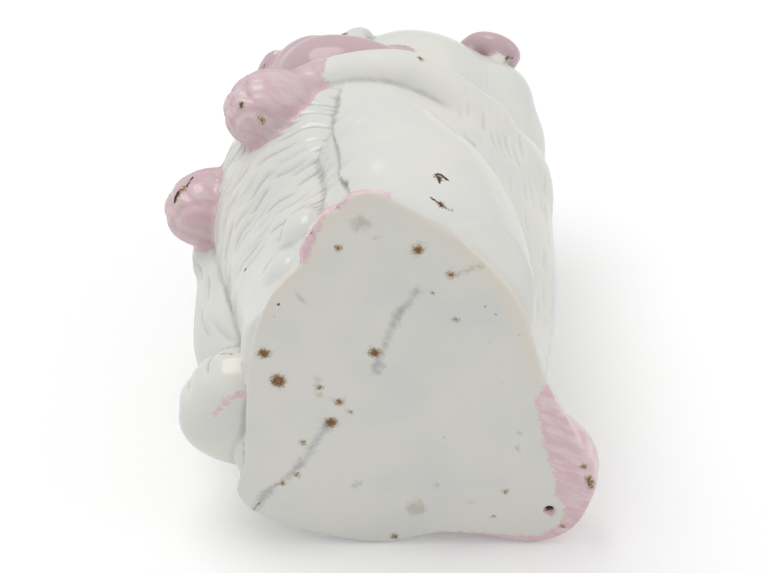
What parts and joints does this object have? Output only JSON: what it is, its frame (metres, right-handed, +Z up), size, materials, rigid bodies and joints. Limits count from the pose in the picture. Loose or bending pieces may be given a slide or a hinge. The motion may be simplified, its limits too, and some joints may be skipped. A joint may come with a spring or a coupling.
{
  "type": "porcelain pug figurine",
  "caption": "Hollow glazed porcelain pug ornament sitting up to beg on a flat base, white with pink enamel on muzzle, ears, paws and tail; stands free on its base.",
  "frame": {"origin": "middle of the footprint, on the flat base the figure stands on", "axes": "+Z up, -Y the way the pug faces, +X its left side"},
  "size_m": [0.0669, 0.0751, 0.0833],
  "materials": {
    "white_glaze": "glossy clear glaze over white porcelain, faintly grey-green, with iron specks",
    "pink_enamel": "glossy pink enamel over the glaze, uneven at its edges"
  },
  "bodies": {
    "root": {"body": "white_glaze", "head": "white_glaze", "left_ear": "pink_enamel", "right_ear": "pink_enamel", "left_foreleg": "white_glaze", "right_foreleg": "white_glaze", "left_haunch": "white_glaze", "right_haunch": "white_glaze", "left_hind_foot": "white_glaze", "right_hind_foot": "white_glaze", "tail": "pink_enamel"}
  },
  "joints": []
}
